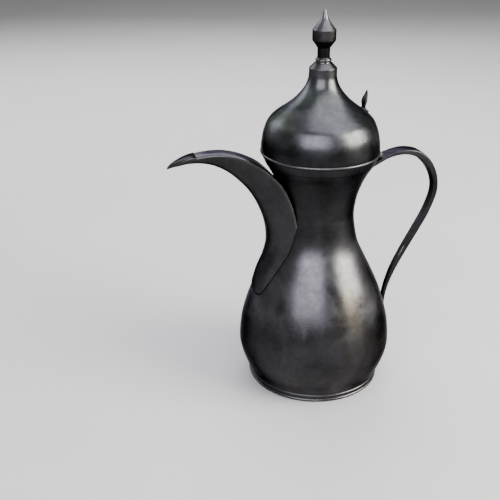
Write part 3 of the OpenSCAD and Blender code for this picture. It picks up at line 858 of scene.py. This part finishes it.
LEAF_SIDES, LEAF_SQUARENESS, LEAF_AT_R = 28, 0.8, 38
LEAF_ROOT_T, LEAF_TIP_T, LEAF_SWELL = 1.25, 0.5, 0.7
# (x, z) up the leaf from its foot on the lid, and (half width, z)
LEAF_KEYS = [(0, -1), (-1, 3), (-1.1, 6), (-0.3, 10), (0.8, 13.6), (1.1, 16.8)]
LEAF_WIDTHS = [(2.4, -2), (2.1, 1.5), (2.6, 3.4), (4, 5.6), (4.5, 8), (4, 10.6), (2.4, 14), (0.4, 17)]

coarse = curve_through(LID_KEYS, 4)
stand = max(i for i, p in enumerate(coarse) if p[0] > LEAF_AT_R)
thumb_at = coarse[stand]
slope = (coarse[stand + 1][0] - coarse[stand - 1][0], coarse[stand + 1][1] - coarse[stand - 1][1])
leaf_line = curve_through(LEAF_KEYS, 10)
leaf_w = [(z, w) for w, z in curve_through(LEAF_WIDTHS, 8)]
sizes = []
for k, (x, z) in enumerate(leaf_line):
    share = k / (len(leaf_line) - 1)
    half_t = mix(LEAF_ROOT_T, LEAF_TIP_T, share) + LEAF_SWELL * math.sin(math.pi * share) ** 2
    sizes.append((half_t, lookup(leaf_w, z)))
leaf_place = [(thumb_at[0] + x, thumb_at[1] + z) for x, z in leaf_line]
loops = bar_loops(leaf_place, sizes, LEAF_SIDES, LEAF_SQUARENESS)
# the leaf and its pad take the spout's darker metal, a painted shade
add_piece("thumb_leaf_blade", grid_mesh("thumb_leaf_blade", loops, wrap=True, caps=True),
          "lid", "handle_metal", ["thumb_leaf"], METALS["spout_metal"])

disc = [(0, -0.6), (4.2, -0.6), (4.2, 0.5), (3.7, 1.05), (2.9, 1.3), (0, 1.3)]
pad = lathe_mesh("thumb_leaf_pad", soften(disc, 0.3), 64, False, 0.2)
turn = Vector((0, 0, 1)).rotation_difference(Vector((slope[1], 0, -slope[0])).normalized())
pad.transform(Matrix.Translation(Vector((thumb_at[0], 0, thumb_at[1])) * MM) @ turn.to_matrix().to_4x4())
add_piece("thumb_leaf_pad", pad, "lid", "handle_metal", metal=METALS["spout_metal"])

# ---- floor, light and camera ---------------------------------------------------------


def stage_material():
    n = Nodes("studio_floor")
    place = n.add("ShaderNodeTexCoord").outputs["Object"]
    clouds = n.spread(n.noise(place, 3), 0.3, 0.7, 0, 1)
    colour = n.blend(clouds, (0.315, 0.312, 0.308), (0.335, 0.332, 0.328))
    shader = n.add("ShaderNodeBsdfPrincipled")
    shader.inputs["Roughness"].default_value = 0.7
    shader.inputs["Specular IOR Level"].default_value = 0.2
    n.link(colour, shader.inputs["Base Color"])
    n.link(shader.outputs["BSDF"], n.add("ShaderNodeOutputMaterial").inputs["Surface"])
    return n.material


# half the floor's side and how far it lies under the pot, in metres
HALF, FLOOR_DROP = 14, 0.0002
floor = bpy.data.meshes.new("floor")
floor.from_pydata([(-HALF, -HALF, 0), (HALF, -HALF, 0), (HALF, HALF, 0), (-HALF, HALF, 0)],
                  [], [(0, 1, 2, 3)])
floor.materials.append(stage_material())
floor_object = bpy.data.objects.new("floor", floor)
bpy.context.scene.collection.objects.link(floor_object)
floor_object.location.z = CAD_BOX[0].z - FLOOR_DROP

# the room lights the pot softly, and the camera sees a brighter backdrop behind the floor
world = bpy.data.worlds.new("studio")
bpy.context.scene.world = world
world.use_nodes = True
studio = world.node_tree
room = studio.nodes["Background"]
room.inputs["Color"].default_value = (0.95, 0.95, 1.0, 1)
room.inputs["Strength"].default_value = 0.30
backdrop = studio.nodes.new("ShaderNodeBackground")
backdrop.inputs["Color"].default_value = (0.98, 0.98, 1.0, 1)
backdrop.inputs["Strength"].default_value = 0.75
sight = studio.nodes.new("ShaderNodeLightPath")
either = studio.nodes.new("ShaderNodeMixShader")
studio.links.new(sight.outputs["Is Camera Ray"], either.inputs[0])
studio.links.new(room.outputs[0], either.inputs[1])
studio.links.new(backdrop.outputs[0], either.inputs[2])
studio.links.new(either.outputs[0], studio.nodes["World Output"].inputs["Surface"])

CENTRE = (CAD_BOX[0] + CAD_BOX[1]) / 2


def softbox(name, azimuth, elevation, distance, width, height, radiance, colour, aim=CENTRE):
    """A plain soft light, in degrees and metres. Azimuth 0 is at -Y, the camera's side, and 90 at +X."""
    a, e = math.radians(azimuth), math.radians(elevation)
    way = Vector((math.sin(a) * math.cos(e), -math.cos(a) * math.cos(e), math.sin(e)))
    light = bpy.data.lights.new(name, "AREA")
    light.shape, light.size, light.size_y = "RECTANGLE", width, height
    light.energy = radiance * math.pi * width * height
    light.color = colour
    lamp = bpy.data.objects.new(name, light)
    bpy.context.scene.collection.objects.link(lamp)
    lamp.location = aim + way * distance
    lamp.rotation_euler = way.to_track_quat("Z", "Y").to_euler()
    lamp.visible_camera = False


softbox("window_right", 57, 24, 1.7, 1.15, 0.95, 34, (1.0, 0.965, 0.89))
softbox("window_left", -30, 27, 1.8, 1.7, 1.1, 10, (0.90, 0.885, 1.0))
softbox("ceiling", 60, 74, 1.7, 1.9, 1.9, 5, (0.91, 0.92, 1.0))
softbox("side_left", -108, 45, 1.8, 0.8, 0.8, 1.3, (0.80, 0.95, 0.90))
softbox("behind", 168, 34, 1.8, 1.5, 0.7, 14, (0.96, 0.96, 1.0))
softbox("window_back", -145, 24, 1.9, 0.9, 1.0, 9, (0.92, 0.94, 1.0))

CAMERA_AT = (-0.2301, -0.6253, 0.4289)
CAMERA_TURN = (65.33, 0, -15)

camera = bpy.data.cameras.new("camera")
camera.sensor_width = 36
camera.lens = 57.6
camera.clip_start, camera.clip_end = 0.01, 50
view = bpy.data.objects.new("camera", camera)
bpy.context.scene.collection.objects.link(view)
view.location = CAMERA_AT
view.rotation_euler = [math.radians(a) for a in CAMERA_TURN]
bpy.context.scene.camera = view
